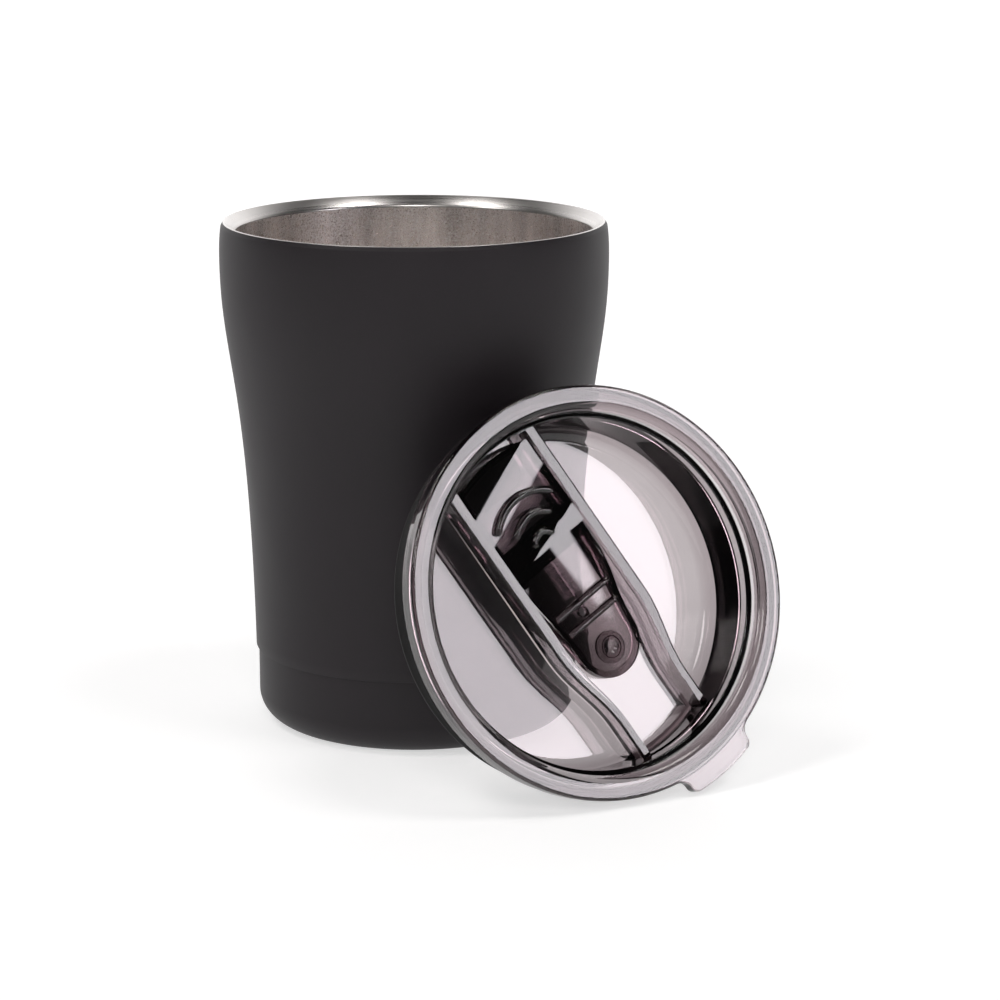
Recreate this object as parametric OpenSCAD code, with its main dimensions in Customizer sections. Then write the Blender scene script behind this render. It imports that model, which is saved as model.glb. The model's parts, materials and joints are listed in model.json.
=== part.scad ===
// Insulated travel mug: a double-wall vacuum cup, with its slider lid leaning against it.
// Millimetres, +Z up. The origin is the centre of the cup's base, on the cup's axis.

/* [Cup] */
// Outer diameter at the rim
rim_d = 86; // [70:0.5:104]
// Height from the table to the rim
cup_h = 115; // [90:1:150]
// How far the bulge stands out past the rim
bulge_out = 0.85; // [0.3:0.05:3]
// Height of the bulge below the rim
bulge_drop = 7.5; // [4:0.5:14]
// Outer diameter of the coated shell at its lower edge
waist_d = 73.9; // [60:0.1:90]
// Height of the bare step where the shell ends above the base
step_z = 17.4; // [12:0.1:30]
// Corner radius at the foot of the base
foot_r = 7; // [3:0.5:10]
// Share of the shell's height that stays nearly straight before it flares
flare_start = 0.72; // [0.5:0.01:0.8]
// Length over which the top eases into the bulge
flare_end = 25; // [10:1:35]

/* [Cup walls] */
// Wall of the outer shell and of the base
shell_t = 0.6; // [0.4:0.05:1.2]
// Wall of the inner liner
liner_t = 0.5; // [0.4:0.05:1]
// Smallest gap between shell and liner
vacuum_gap = 1.5; // [1:0.1:4]
// Length of the straight mouth
mouth_len = 20; // [15:0.5:24]
// Height of the polished bevel inside the rim
bevel_h = 2.1; // [1:0.1:4]
// Width of the polished bevel
bevel_w = 2.4; // [1.9:0.1:4]
// Width of the polished weld ring on top of the rim
rim_edge = 0.45; // [0.3:0.05:1]
// Height of the weld ring
weld_h = 0.9; // [0.6:0.1:2]
// Height of the drinking space's floor above the table
liner_floor_z = 11; // [9:0.5:16]
// Inside corner radius of the liner's floor
liner_corner_r = 8; // [3:0.5:12]
// How far the shell laps over the base
lap_h = 5; // [3:0.5:8]

/* [Base parts] */
// Width of the flat foot ring
foot_ring_w = 4.3; // [2:0.1:6]
// Height of the shelf inside the foot ring
shelf_z = 1.6; // [1.2:0.1:3]
// Width of the shelf
shelf_w = 3.4; // [2.5:0.1:6]
// Radius of the evacuation hole
vent_r = 0.9; // [0.5:0.1:1.5]
// Radius of the getter pellet
getter_r = 4; // [2.5:0.1:5]
// Height of the getter pellet
getter_h = 1.4; // [1:0.1:2]
// Thickness of the copper foil
foil_t = 0.15; // [0.1:0.05:0.3]

/* [Lid] */
// How far the flange stands out past the cup's rim
flange_over = 1.3; // [0.6:0.1:3]
// Height of the flange's upper lip
lip_h = 3.1; // [2:0.1:4]
// Height of the whole flange
flange_h = 6.6; // [5:0.1:9]
// How far the skirt below the lip steps in
skirt_step = 0.6; // [0.2:0.05:1.2]
// Wall of the skirt, the bridge's sides and the floor
lid_t = 1.9; // [1.5:0.1:2.5]
// Wall of the plug
plug_t = 1.8; // [1.6:0.1:2.4]
// Depth of the recess below the flange's top
recess_depth = 19; // [16:0.5:24]
// How far the recess steps in below its mouth
recess_step = 1.1; // [0.5:0.1:2]
// Fillet between the flange's top and the recess
brow_r = 2; // [0.8:0.1:2.4]
// Fillet round the recess floor
floor_fillet = 3; // [1:0.5:5]
// Gap between the plug and the mouth
plug_gap = 0.65; // [0.4:0.05:1.2]
// How far the gasket's fins stand past the mouth's wall before they are squeezed
fin_squeeze = 0.95; // [0.4:0.05:1.5]
// Width of the pull tab
tab_w = 18; // [10:0.5:26]
// How far the pull tab stands out from the flange
tab_out = 3.8; // [2:0.1:8]
// Thickness of the pull tab
tab_t = 2.4; // [1.6:0.1:3]

/* [Slider] */
// Width of the slider across its guide flanges
slider_w = 22.2; // [18:0.1:26]
// Depth of the slider's top below the flange's top
slider_z = 8.2; // [6:0.1:10]
// Height of the slider
slider_h = 5; // [4:0.1:6]
// Wall of the slider
slider_t = 1.5; // [1.2:0.1:2]
// Radius of the slider's round tip
tip_r = 8; // [5:0.1:9]
// Gap left at the far end of the channel when the slider is open
end_room = 4.3; // [3.5:0.1:8]
// How far the slider travels
slider_travel = 13; // [8:0.5:14]
// Clearance round the slider
slider_gap = 0.35; // [0.2:0.05:0.6]
// How far the rails lip over the slider's flanges
rail_lip = 0.5; // [0.3:0.05:1]
// Height of the step between the slider's two levels
step_h = 1.2; // [0.6:0.1:1.6]
// Length of the drink opening
drink_len = 10; // [6:0.5:11]
// Width of the drink opening
drink_w = 16; // [8:0.5:18]

/* [Leaning lid] */
// Turn of the leaning lid about the vertical
lean_turn = 26.4; // [0:0.1:60]
// How far the leaning lid tips back
lean_back = 18.1; // [8:0.1:30]
// Sideways offset of the leaning lid
lean_side = 8.4; // [-15:0.1:15]
// Turn of the pull tab in the lid's own plane
tab_turn = -60.5; // [-85:0.5:-20]
// Gap between the leaning lid and the cup
lean_gap = 0.4; // [0.3:0.05:2]

/* [Hidden] */
$fn = 96;
eps = 0.01;

// Radii that follow from the diameters above
rim_r = rim_d / 2;
bulge_r = rim_r + bulge_out;
waist_r = waist_d / 2;
base_r = waist_r - shell_t;
lip_r = rim_r - rim_edge;
mouth_r = lip_r - bevel_w;
foot_in_r = base_r - foot_r - foot_ring_w;
shelf_r = foot_in_r - shelf_z - shelf_w;

// Outline of the body: one cubic curve up to the bulge and an arc in to the rim
bulge_z = cup_h - bulge_drop;
side_h = bulge_z - step_z;
side_lean = 1.1;
curve = [[waist_r, step_z],
         [waist_r + side_lean, step_z + flare_start * side_h],
         [bulge_r, bulge_z - flare_end],
         [bulge_r, bulge_z]];
function bezier(t) =
    pow(1 - t, 3) * curve[0] + 3 * t * pow(1 - t, 2) * curve[1]
    + 3 * t * t * (1 - t) * curve[2] + pow(t, 3) * curve[3];
function lip_arc(t) =
    [bulge_r - (bulge_r - rim_r) * (1 - cos(90 * t)), bulge_z + bulge_drop * sin(90 * t)];
body_line = concat([for (i = [0:32]) bezier(i / 32)], [for (i = [1:8]) lip_arc(i / 8)]);
function body_r(z) = lookup(z, [for (p = body_line) [p[1], p[0]]]);

// Inside of the liner: the body's outline less both walls and the gap, and the straight mouth
double_wall = shell_t + vacuum_gap + liner_t;
bevel_z = cup_h - bevel_h;
liner_seam_z = liner_floor_z + liner_corner_r;
mouth_low_z = bevel_z - mouth_len;
liner_steps = 24;
function liner_r(z) = min(mouth_r, body_r(max(z, step_z)) - double_wall);
liner_line = concat(
    [for (i = [0:liner_steps - 1])
        let (z = liner_seam_z + (mouth_low_z - liner_seam_z) * i / liner_steps) [liner_r(z), z]],
    [[mouth_r, mouth_low_z], [mouth_r, bevel_z]]);

function shifted(line, dr) = [for (p = line) [p[0] + dr, p[1]]];
function reversed(line) = [for (i = [len(line) - 1:-1:0]) line[i]];
function arc(c, r, a0, a1, n = 12) =
    [for (i = [0:n]) c + r * [cos(a0 + (a1 - a0) * i / n), sin(a0 + (a1 - a0) * i / n)]];

module revolve(points) rotate_extrude() polygon(points);

// ---------------------------------------------------------------- cup

// Coated outer wall, from the step above the base to the weld under the rim
module outer_shell() {
    top_z = cup_h - weld_h;
    outside = concat([for (p = body_line) if (p[1] < top_z - eps) p], [[body_r(top_z), top_z]]);
    lap_z = step_z + lap_h;
    inside = [for (p = shifted(outside, -shell_t)) if (p[1] > lap_z) p];
    color("#26242a")
    revolve(concat(outside, reversed(inside), [[body_r(lap_z) - shell_t, lap_z],
                                               [base_r, lap_z], [base_r, step_z]]));
}

// Drawn base: foot ring, rounded corner and the wall that the shell laps over
module base_cup() {
    corner = [base_r - foot_r, foot_r];
    shelf_top = shelf_z + shell_t;
    color("#26242a")
    revolve(concat(
        [[foot_in_r, 0]],
        arc(corner, foot_r, -90, 0),
        [[base_r, step_z + lap_h], [base_r - shell_t, step_z + lap_h]],
        arc(corner, foot_r - shell_t, 0, -90),
        [[foot_in_r + shell_t, shell_t], [foot_in_r + shell_t - shelf_z, shelf_top],
         [shelf_r, shelf_top], [shelf_r, shelf_z], [foot_in_r - shelf_z, shelf_z]]));
}

// Inner wall with its flared, polished lip
module inner_liner() {
    lip_drop = liner_t * 1.3;
    inside = concat(liner_line, [[lip_r, cup_h]]);
    outside = concat(shifted(liner_line, liner_t), [[lip_r, cup_h - lip_drop]]);
    color("#b8b2aa") revolve(concat(inside, reversed(outside)));
}

// Dished floor of the liner, butt-welded to the wall
module liner_floor() {
    r = liner_r(liner_seam_z);
    corner = [r - liner_corner_r, liner_seam_z];
    color("#b8b2aa")
    revolve(concat([[0, liner_floor_z]], arc(corner, liner_corner_r, -90, 0),
                   arc(corner, liner_corner_r + liner_t, 0, -90),
                   [[0, liner_floor_z - liner_t]]));
}

// Weld bead that joins shell and liner, ground flush and polished
module rim_weld() {
    edge = 0.15;
    foot_z = cup_h - weld_h;
    color("#e4e2df")
    revolve([[lip_r, foot_z], [body_r(foot_z), foot_z], [rim_r, cup_h - edge],
             [rim_r - edge, cup_h], [lip_r, cup_h]]);
}

// Pressure plate that closes the vacuum space, with a dimple for the seal
plate_z = shelf_z + shell_t;
dimple_r = 4;
dimple_drop = 1;
module vacuum_plate() {
    plate_gap = 0.5;
    color("#c9c5be")
    difference() {
        union() {
            translate([0, 0, plate_z]) cylinder(r = foot_in_r - shelf_z - plate_gap, h = shell_t);
            translate([0, 0, plate_z - dimple_drop]) cylinder(r = dimple_r + shell_t, h = dimple_drop);
        }
        translate([0, 0, plate_z - dimple_drop + shell_t]) cylinder(r = dimple_r, h = 2 * dimple_drop);
        translate([0, 0, -eps]) cylinder(r = vent_r, h = 2 * plate_z);
    }
}

// Glass bead that seals the evacuation hole
module seal_plug() {
    bead_h = 0.8;
    color("#3a4a44") {
        translate([0, 0, plate_z - dimple_drop]) cylinder(r = vent_r, h = shell_t);
        translate([0, 0, plate_z - dimple_drop + shell_t])
            cylinder(r1 = dimple_r - 1, r2 = dimple_r - 2, h = bead_h);
    }
}

// Outer cap, spot-welded under the shelf, its face level with the foot ring
module bottom_cap() {
    cap_r = shelf_r + 1.5;
    weld_rim = 1;
    dish_r = cap_r - shelf_z;
    slant = shell_t * 0.4;
    color("#8f8b86")
    revolve([[0, 0], [dish_r, 0], [cap_r, shelf_z - shell_t],
             [cap_r + weld_rim, shelf_z - shell_t], [cap_r + weld_rim, shelf_z],
             [cap_r - slant, shelf_z], [dish_r - slant, shell_t], [0, shell_t]]);
}

// Clip that holds the getter under the liner's floor
clip_top = liner_floor_z - liner_t;
module getter_clip() {
    clip_wall = 0.5;
    clip_h = getter_h + clip_wall;
    ear_w = 4;
    ledge = 1;
    color("#c9c5be")
    difference() {
        translate([0, 0, clip_top - clip_h]) union() {
            cylinder(r = getter_r + clip_wall, h = clip_h);
            translate([-getter_r * 2, -ear_w / 2, clip_h - clip_wall])
                cube([getter_r * 4, ear_w, clip_wall]);
        }
        translate([0, 0, clip_top - clip_h + clip_wall]) cylinder(r = getter_r, h = clip_h);
        translate([0, 0, clip_top - clip_h - eps]) cylinder(r = getter_r - ledge, h = clip_h);
    }
}

// Getter pellet that keeps the vacuum clean
module getter() {
    color("#55565a") translate([0, 0, clip_top - getter_h]) cylinder(r = getter_r, h = getter_h);
}

// Copper foil wrapped round the liner against radiant heat
module copper_foil() {
    end_gap = 3;
    from_z = liner_seam_z + end_gap;
    to_z = mouth_low_z - end_gap;
    line = [for (p = shifted(liner_line, liner_t)) if (p[1] > from_z && p[1] < to_z) p];
    color("#b9683c") revolve(concat(line, reversed(shifted(line, foil_t))));
}

// ---------------------------------------------------------------- lid, in its own frame
// Lid frame: the origin is the centre of the flange's top, +Z leaves the top, +X points to the tab.

plug_r = mouth_r - plug_gap;
flange_r = rim_r + flange_over;
skirt_r = flange_r - skirt_step;
wall_top_r = plug_r - plug_t;
draft = 0.4;
wall_low_r = wall_top_r - draft;
recess_r = wall_top_r + recess_step;
floor_r = wall_low_r - floor_fillet;
plug_bottom = recess_depth + lid_t;
plug_fillet = floor_fillet + 0.5;

// Groove in the plug that the gasket sits in
groove_deep = 0.6;
groove_top = flange_h + 1.2;
groove_low = recess_depth - 1.8;
sleeve_r = plug_r + 0.35;
fin_r = mouth_r + fin_squeeze;

// The bridge across the recess, and the channel that the slider runs in
tip_x = wall_low_r - end_room - slider_travel - tip_r;
taper_len = 20;
taper_x = tip_x - taper_len;
half_w = slider_w / 2 + slider_gap;
rail_top = slider_z + 0.2;
deck_z = slider_z + slider_h + 0.2;
end_r = wall_low_r - 1.9;

// Side of the slider and of its guide: straight, and then eased in from half width w to r
function taper(x, x0, x1, w0, w1) =
    w1 + (w0 - w1) * (1 + cos(180 * min(1, max(0, (x - x0) / (x1 - x0))))) / 2;
function taper_side(w, r, shift) =
    let (x0 = taper_x + shift, x1 = tip_x + shift)
    [for (i = [0:12]) let (x = x0 + (x1 - x0) * i / 12) [x, taper(x, x0, x1, w, r)]];
function mirrored(line) = [for (p = line) [p[0], -p[1]]];
// Outline of the slider, with its round tip
tip_half_arc = 78;
function tongue(w, r, shift, back) =
    let (side = taper_side(w, r, shift))
    concat([[back, -w]], mirrored(side),
           arc([tip_x + shift, 0], r, -tip_half_arc, tip_half_arc, 16), reversed(side), [[back, w]]);
// Outline of the bridge and of its channel, which run on to the recess wall
function guide(w, r, shift) =
    let (side = taper_side(w, r, shift))
    concat([[-recess_r, -w]], mirrored(side), [[recess_r, -r], [recess_r, r]],
           reversed(side), [[-recess_r, w]]);

module plate(points, low, top) translate([0, 0, -low]) linear_extrude(low - top) polygon(points);
module drum(r, low, top) translate([0, 0, -low]) cylinder(r = r, h = low - top);

// Section of the plug, the recess and the flange
function lid_section() = concat(
    [[0, -recess_depth]],
    arc([floor_r, floor_fillet - recess_depth], floor_fillet, -90, 0, 8),
    [[wall_top_r, -lip_h - 0.9], [wall_top_r + 0.25, -lip_h - 0.55], [recess_r - 0.1, -lip_h - 0.35],
     [recess_r, -lip_h - 0.1]],
    arc([recess_r + brow_r, -brow_r], brow_r, 180, 90, 8),
    arc([flange_r - 0.7, -0.7], 0.7, 90, 0, 5),
    [[flange_r - 0.1, -lip_h], [skirt_r, -lip_h - 0.3], [skirt_r - 0.1, -flange_h],
     [skirt_r - lid_t, -flange_h], [skirt_r - lid_t, -lid_t - 0.3], [plug_r + 0.5, -lid_t - 0.3],
     [plug_r, -lid_t - 0.8], [plug_r, -groove_top], [plug_r - groove_deep, -groove_top],
     [plug_r - groove_deep, -groove_low], [plug_r, -groove_low]],
    arc([plug_r - plug_fillet, plug_fillet - plug_bottom], plug_fillet, 0, -90, 8),
    [[0, -plug_bottom]]);

// Pull tab: a rounded tongue that flows out of the flange
module pull_tab() {
    corner = 2;
    blend = 2.5;
    half = tab_w / 2;
    reach = flange_r + tab_out;
    // Centres of the hollow blends, tangent to the flange, and of the corners, tangent to the tab's end
    blend_x = sqrt(pow(flange_r + blend, 2) - pow(half + blend, 2));
    corner_x = sqrt(pow(reach - corner, 2) - pow(half - corner, 2));
    root_w = (half + blend) * flange_r / (flange_r + blend);
    intersection() {
        drum(reach, tab_t, 0);
        translate([0, 0, -tab_t]) linear_extrude(tab_t) difference() {
            translate([flange_r - 3, -root_w]) square([tab_out + 6, 2 * root_w]);
            for (s = [-1, 1]) translate([blend_x, s * (half + blend)]) {
                circle(r = blend);
                translate([0, -blend]) square([10, 2 * blend]);
            }
            for (s = [-1, 1]) translate([corner_x, s * (half - corner)]) difference() {
                translate([0, s > 0 ? 0 : -corner - 1]) square([corner + 1, corner + 1]);
                circle(r = corner);
            }
        }
    }
}

module lid_body_flat() {
    over = 1;
    taper_room = 2.6;
    air_hole_r = 1.2;
    guide_r = tip_r + slider_gap;
    guide_shift = slider_travel + taper_room;
    difference() {
        union() {
            revolve(lid_section());
            intersection() {
                plate(guide(half_w + lid_t, guide_r + lid_t, guide_shift), plug_bottom, rail_top);
                drum(wall_top_r + 0.3, plug_bottom - 0.4, 0);
            }
            pull_tab();
        }
        // Channel for the slider, and the narrower slot between the rail lips
        intersection() {
            plate(guide(half_w, guide_r, guide_shift), deck_z, slider_z + slider_t + slider_gap);
            drum(wall_low_r, deck_z + over, 0);
        }
        intersection() {
            plate(guide(half_w - rail_lip, guide_r, guide_shift), deck_z, rail_top - over);
            drum(wall_low_r, deck_z + over, 0);
        }
        // Hollow under the bridge
        intersection() {
            plate(guide(half_w, guide_r, guide_shift), plug_bottom + over, deck_z + lid_t);
            drum(plug_r - plug_fillet + 0.4, plug_bottom + over, 0);
        }
        // Drink opening at the wall side, and a small air hole under the slider
        intersection() {
            translate([-end_r - 1 + drink_len / 2, 0, -deck_z - lid_t - over])
                linear_extrude(lid_t + 2 * over) union() {
                    square([drink_len, drink_w - drink_len / 2], center = true);
                    for (s = [-1, 1]) translate([0, s * (drink_w / 2 - drink_len / 4)])
                        scale([1, 0.5]) circle(r = drink_len / 2);
                }
            drum(end_r - 1, deck_z + lid_t + over, 0);
        }
        translate([tip_x / 3, 0, -deck_z - lid_t - over]) cylinder(r = air_hole_r, h = lid_t + 2 * over);
    }
}

// Silicone sleeve with two sealing fins
module gasket_flat() {
    seat_r = plug_r - groove_deep;
    pitch = (groove_low - groove_top) / 2;
    function fin(z) = [[sleeve_r, -z + 1.5], [fin_r - 0.35, -z + 0.55], [fin_r, -z + 0.1],
                       [fin_r - 0.3, -z - 0.35], [sleeve_r, -z - 0.9]];
    revolve(concat([[seat_r, -groove_top], [sleeve_r, -groove_top]],
                   fin(groove_top + pitch * 0.72), fin(groove_top + pitch * 1.7),
                   [[sleeve_r, -groove_low], [seat_r, -groove_low]]));
}

// Section of a grip ridge, rooted below the surface it stands on
ridge_r = 0.7;
ridge_section = [[-ridge_r, -0.6], [ridge_r, -0.6], [ridge_r, 0.25], [ridge_r / 2, 0.6],
                 [-ridge_r / 2, 0.6], [-ridge_r, 0.25]];
// Where the three grip arcs have their common centre, and their radii and half angles
grip_x = taper_x - 5.9;
grip_arcs = [[11.5, 43], [7, 43], [2.6, 65]];

module grip_arc(r, half_angle) {
    translate([grip_x, 0, 0]) rotate([0, 0, 180 - half_angle])
        rotate_extrude(angle = 2 * half_angle) translate([r, 0]) polygon(ridge_section);
}

module grip_bar(x, length) {
    translate([x, length / 2, 0]) rotate([90, 0, 0]) linear_extrude(length) polygon(ridge_section);
}

module slider_flat() {
    low = slider_z + slider_h;
    lower_top = slider_z + step_h;
    shoulder = slider_z + slider_t + 2 * slider_gap;
    step_x = taper_x - 1.7;
    block_len = 7.8;
    bar_max = slider_w - 2 * slider_t - 2 * slider_gap;
    dimple_x = tip_x + 1.6;
    dimple_in_r = 2.3;
    dimple_out_r = 4.9;
    dimple_h = 1.1;
    dish_r = 40;
    dish_x = taper_x - 20.5;
    dish_deep = 0.55;
    dish_len = 24;
    web_t = 0.6;
    web_up = 0.8;
    far = 60;
    difference() {
        intersection() {
            union() {
                plate(tongue(slider_w / 2, tip_r, 0, -recess_r), low, shoulder);
                plate(tongue(slider_w / 2 - rail_lip, tip_r, 0, -recess_r), low, slider_z);
            }
            drum(end_r, low + 1, 0);
        }
        // Hollow underside, lower under the tongue than under the thumb pad
        intersection() {
            plate(tongue(slider_w / 2 - slider_t, tip_r - slider_t, 0, -recess_r),
                  low + 1, slider_z + slider_t);
            drum(end_r - slider_t, low + 2, 0);
            translate([step_x - block_len - far, -far / 2, -far / 2]) cube([far, far, far / 2]);
        }
        intersection() {
            plate(tongue(slider_w / 2 - slider_t, tip_r - slider_t, 0, step_x),
                  low + 1, lower_top + slider_t);
            translate([step_x, -far / 2, -far / 2]) cube([far, far, far / 2]);
        }
        // Step down to the tongue
        translate([0, far / 2, 0]) rotate([90, 0, 0]) linear_extrude(far)
            polygon([[step_x - 0.4, -slider_z + eps], [step_x + 0.9, -lower_top], [far, -lower_top],
                     [far, 1], [step_x - 0.4, 1]]);
        // Shallow dish for the thumb
        translate([dish_x, dish_len / 2, dish_r - slider_z - dish_deep]) rotate([90, 0, 0])
            cylinder(r = dish_r, h = dish_len, $fn = 192);
        // Dimple at the tip
        translate([dimple_x, 0, -lower_top - dimple_h])
            cylinder(r1 = dimple_in_r, r2 = dimple_out_r, h = dimple_h + eps);
        translate([dimple_x, 0, -low + web_t]) cylinder(r = dimple_in_r, h = slider_h);
    }
    // Boss under the dimple
    difference() {
        drum_at(dimple_x, dimple_in_r + 1.3, low, lower_top + slider_t - 0.2);
        drum_at(dimple_x, dimple_in_r, low - web_t, 0);
    }
    // Web under the tongue
    translate([step_x, -web_t / 2, -low + web_up])
        cube([dimple_x - step_x - dimple_in_r - 0.7, web_t, low - web_up - lower_top - slider_t + 0.1]);
    // Grip ridges on the thumb pad and grip bars on the tongue
    translate([0, 0, -slider_z]) {
        for (a = grip_arcs) grip_arc(a[0], a[1]);
    }
    translate([0, 0, -lower_top]) {
        grip_bar(tip_x - 10.9, min(16.6, bar_max));
        grip_bar(tip_x - 6.4, min(15, bar_max));
    }
}

module drum_at(x, r, low, top) translate([x, 0, 0]) drum(r, low, top);

// ---------------------------------------------------------------- where the lid leans
// The lid stands on the lowest point of its rim and tips back until it nearly meets the cup.

across = [cos(lean_turn), sin(lean_turn)];
away = [sin(lean_turn), -cos(lean_turn)];
// Edges of the lid that could meet the cup or the table, each as [depth, radius]
lid_edges = [[0.7, flange_r], [lip_h, flange_r - 0.1], [flange_h, skirt_r - 0.1],
             [groove_top + 3.5, fin_r], [groove_low - 1.2, fin_r],
             [groove_low, sleeve_r], [plug_bottom - plug_fillet, plug_r],
             [plug_bottom - plug_fillet * (1 - sin(45)), plug_r - plug_fillet * (1 - sin(45))],
             [plug_bottom, plug_r - plug_fillet]];
lean_z = max([for (e = lid_edges) e[1] * cos(lean_back) + e[0] * sin(lean_back)]);
// A point on such an edge, as [sideways, away from the cup, height], before the lid is moved out
function edge_point(e, a) = [lean_side + e[1] * cos(a),
                             -e[1] * sin(a) * sin(lean_back) - e[0] * cos(lean_back),
                             lean_z + e[1] * sin(a) * cos(lean_back) - e[0] * sin(lean_back)];
function reach_out(p) =
    let (r = body_r(max(step_z, p[2])) + lean_gap)
    p[2] > cup_h || abs(p[0]) > r ? 0 : sqrt(r * r - p[0] * p[0]) - p[1];
lean_out = max([for (e = lid_edges) for (a = [0:3:177]) reach_out(edge_point(e, a))]);

module leaning() {
    translate([across[0] * lean_side + away[0] * lean_out,
               across[1] * lean_side + away[1] * lean_out, lean_z])
        rotate([0, 0, lean_turn]) rotate([90 - lean_back, 0, 0]) rotate([0, 0, tab_turn]) children();
}

module lid_body() { color("#8a8286", 0.45) leaning() lid_body_flat(); }
module lid_gasket() { color("#17171a") leaning() gasket_flat(); }
module slider() { color("#4a4448", 0.6) leaning() slider_flat(); }

outer_shell();
base_cup();
inner_liner();
liner_floor();
rim_weld();
vacuum_plate();
seal_plug();
bottom_cap();
getter();
getter_clip();
copper_foil();
lid_body();
lid_gasket();
slider();
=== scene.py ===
"""Looks of the insulated travel mug: its steel and plastic finishes, its floor, sky and camera."""

import json
import math

import bmesh
import bpy
from bpy.props import FloatProperty, FloatVectorProperty, IntProperty, PointerProperty
from mathutils import Matrix, Vector


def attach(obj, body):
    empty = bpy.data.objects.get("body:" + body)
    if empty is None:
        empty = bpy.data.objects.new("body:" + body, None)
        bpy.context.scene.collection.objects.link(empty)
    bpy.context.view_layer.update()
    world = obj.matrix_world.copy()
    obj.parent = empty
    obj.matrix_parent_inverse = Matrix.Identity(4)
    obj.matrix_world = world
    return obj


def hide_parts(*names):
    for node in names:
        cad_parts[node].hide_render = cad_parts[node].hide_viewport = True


bl_info = {
    "name": "Insulated Travel Mug",
    "version": (1, 0, 0),
    "blender": (4, 5, 0),
    "location": "View3D > Sidebar > Travel Mug",
    "description": "Builds the visible pieces, finishes and studio of an insulated travel mug",
    "category": "Object",
}

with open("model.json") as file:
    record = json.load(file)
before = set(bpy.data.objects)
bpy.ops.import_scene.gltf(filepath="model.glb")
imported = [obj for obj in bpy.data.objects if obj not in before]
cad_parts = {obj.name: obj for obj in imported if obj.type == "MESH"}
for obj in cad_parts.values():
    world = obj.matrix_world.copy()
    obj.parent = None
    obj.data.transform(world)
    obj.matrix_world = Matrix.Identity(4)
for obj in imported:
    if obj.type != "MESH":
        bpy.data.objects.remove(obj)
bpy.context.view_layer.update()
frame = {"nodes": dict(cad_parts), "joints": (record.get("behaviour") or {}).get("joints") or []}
NODES = frame["nodes"]
MM = 0.001

# Sizes in millimetres that several pieces share
RING_H = 0.9  # height of the weld ring on the rim
LAP = 5  # how far the shell and the base run on above the shell's lower edge
RECESS_DRAFT = 0.4  # how much narrower the lid's recess is at its floor
PAD_ROOM = 1.9  # room between the slider's round end and the recess wall
PAST = 1  # how far a cutter runs on past the surface that it opens
FAR = 60  # beyond every part of the lid

# Fall of the slider's tongue, and how strongly the two smoke plastics absorb light
FALL_ANGLE = math.radians(3)
FALL = math.tan(FALL_ANGLE)
CLEAR_DENSITY = 400
DARK_DENSITY = 1150


# -------------------------------- sizes that come from the frame


def joint_axis(name):
    return Vector(next(j["axis"] for j in frame["joints"] if j["name"] == name)).normalized()


def lid_place():
    """Matrix that puts the lid where it leans: it is drawn with +Z out of its top and +X to its tab."""
    z = joint_axis("lid_lift")
    x = joint_axis("slider_slide")
    x = (x - z * x.dot(z)).normalized()
    y = z.cross(x)
    seal = [v.co for v in NODES["lid_gasket"].data.vertices]
    middle = [(min(p.dot(a) for p in seal) + max(p.dot(a) for p in seal)) / 2 for a in (x, y)]
    top = max(v.co.dot(z) for v in NODES["lid_body"].data.vertices)
    origin = x * middle[0] + y * middle[1] + z * top
    return Matrix.Translation(origin) @ Matrix((x, y, z)).transposed().to_4x4()


LID = lid_place()


# -------------------------------- mesh helpers


def arc(centre, radius, start, end, steps=8):
    """Points of an arc in a plane, angles in degrees."""
    points = []
    for i in range(steps + 1):
        a = math.radians(start + (end - start) * i / steps)
        points.append((centre[0] + radius * math.cos(a), centre[1] + radius * math.sin(a)))
    return points


def rounded(points, radius, steps=4):
    """The closed outline with each corner rounded to a radius, or to what its sides leave room for."""
    result = []
    count = len(points)
    for i, point in enumerate(points):
        here = Vector(point)
        before, after = Vector(points[i - 1]) - here, Vector(points[(i + 1) % count]) - here
        reach = min(before.length, after.length) * 0.45
        half = before.angle(after) / 2
        if half > math.radians(84) or reach < 0.02:
            result.append(tuple(here))
            continue
        cut = min(reach, radius / math.tan(half))
        start, end = here + before.normalized() * cut, here + after.normalized() * cut
        for k in range(steps + 1):
            t = k / steps
            result.append(tuple(start * (1 - t) ** 2 + here * 2 * t * (1 - t) + end * t * t))
    return result


def finish_mesh(bm, name, materials, place=None, smooth_angle=35):
    """Turns a bmesh into a linked object at the origin, with smooth faces and sharp creases."""
    if place is not None:
        bmesh.ops.transform(bm, matrix=place, verts=bm.verts)
    mesh = bpy.data.meshes.new(name)
    bm.to_mesh(mesh)
    bm.free()
    piece = bpy.data.objects.new(name, mesh)
    bpy.context.scene.collection.objects.link(piece)
    for material in materials:
        mesh.materials.append(material)
    mesh.shade_smooth()
    mesh.set_sharp_from_angle(angle=math.radians(smooth_angle))
    return piece


def weigh_normals(piece):
    modifier = piece.modifiers.new("Even shading", "WEIGHTED_NORMAL")
    modifier.mode = "FACE_AREA_WITH_ANGLE"
    modifier.keep_sharp = True
    modifier.weight = 60


def spun(points, steps, closed=True):
    """A solid of revolution from a (radius, height) outline in millimetres.

    An open outline starts and ends on the axis.
    """
    bm = bmesh.new()
    verts = [bm.verts.new((r * MM, 0, z * MM)) for r, z in points]
    ends = verts[1:] + verts[:1] if closed else verts[1:]
    edges = [bm.edges.new(pair) for pair in zip(verts, ends)]
    bmesh.ops.spin(bm, geom=verts + edges, cent=(0, 0, 0), axis=(0, 0, 1), dvec=(0, 0, 0),
                   angle=2 * math.pi, steps=steps, use_merge=True)
    bmesh.ops.remove_doubles(bm, verts=bm.verts, dist=1e-7)
    bmesh.ops.dissolve_degenerate(bm, edges=bm.edges, dist=1e-8)
    bmesh.ops.recalc_face_normals(bm, faces=bm.faces)
    return bm


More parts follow.
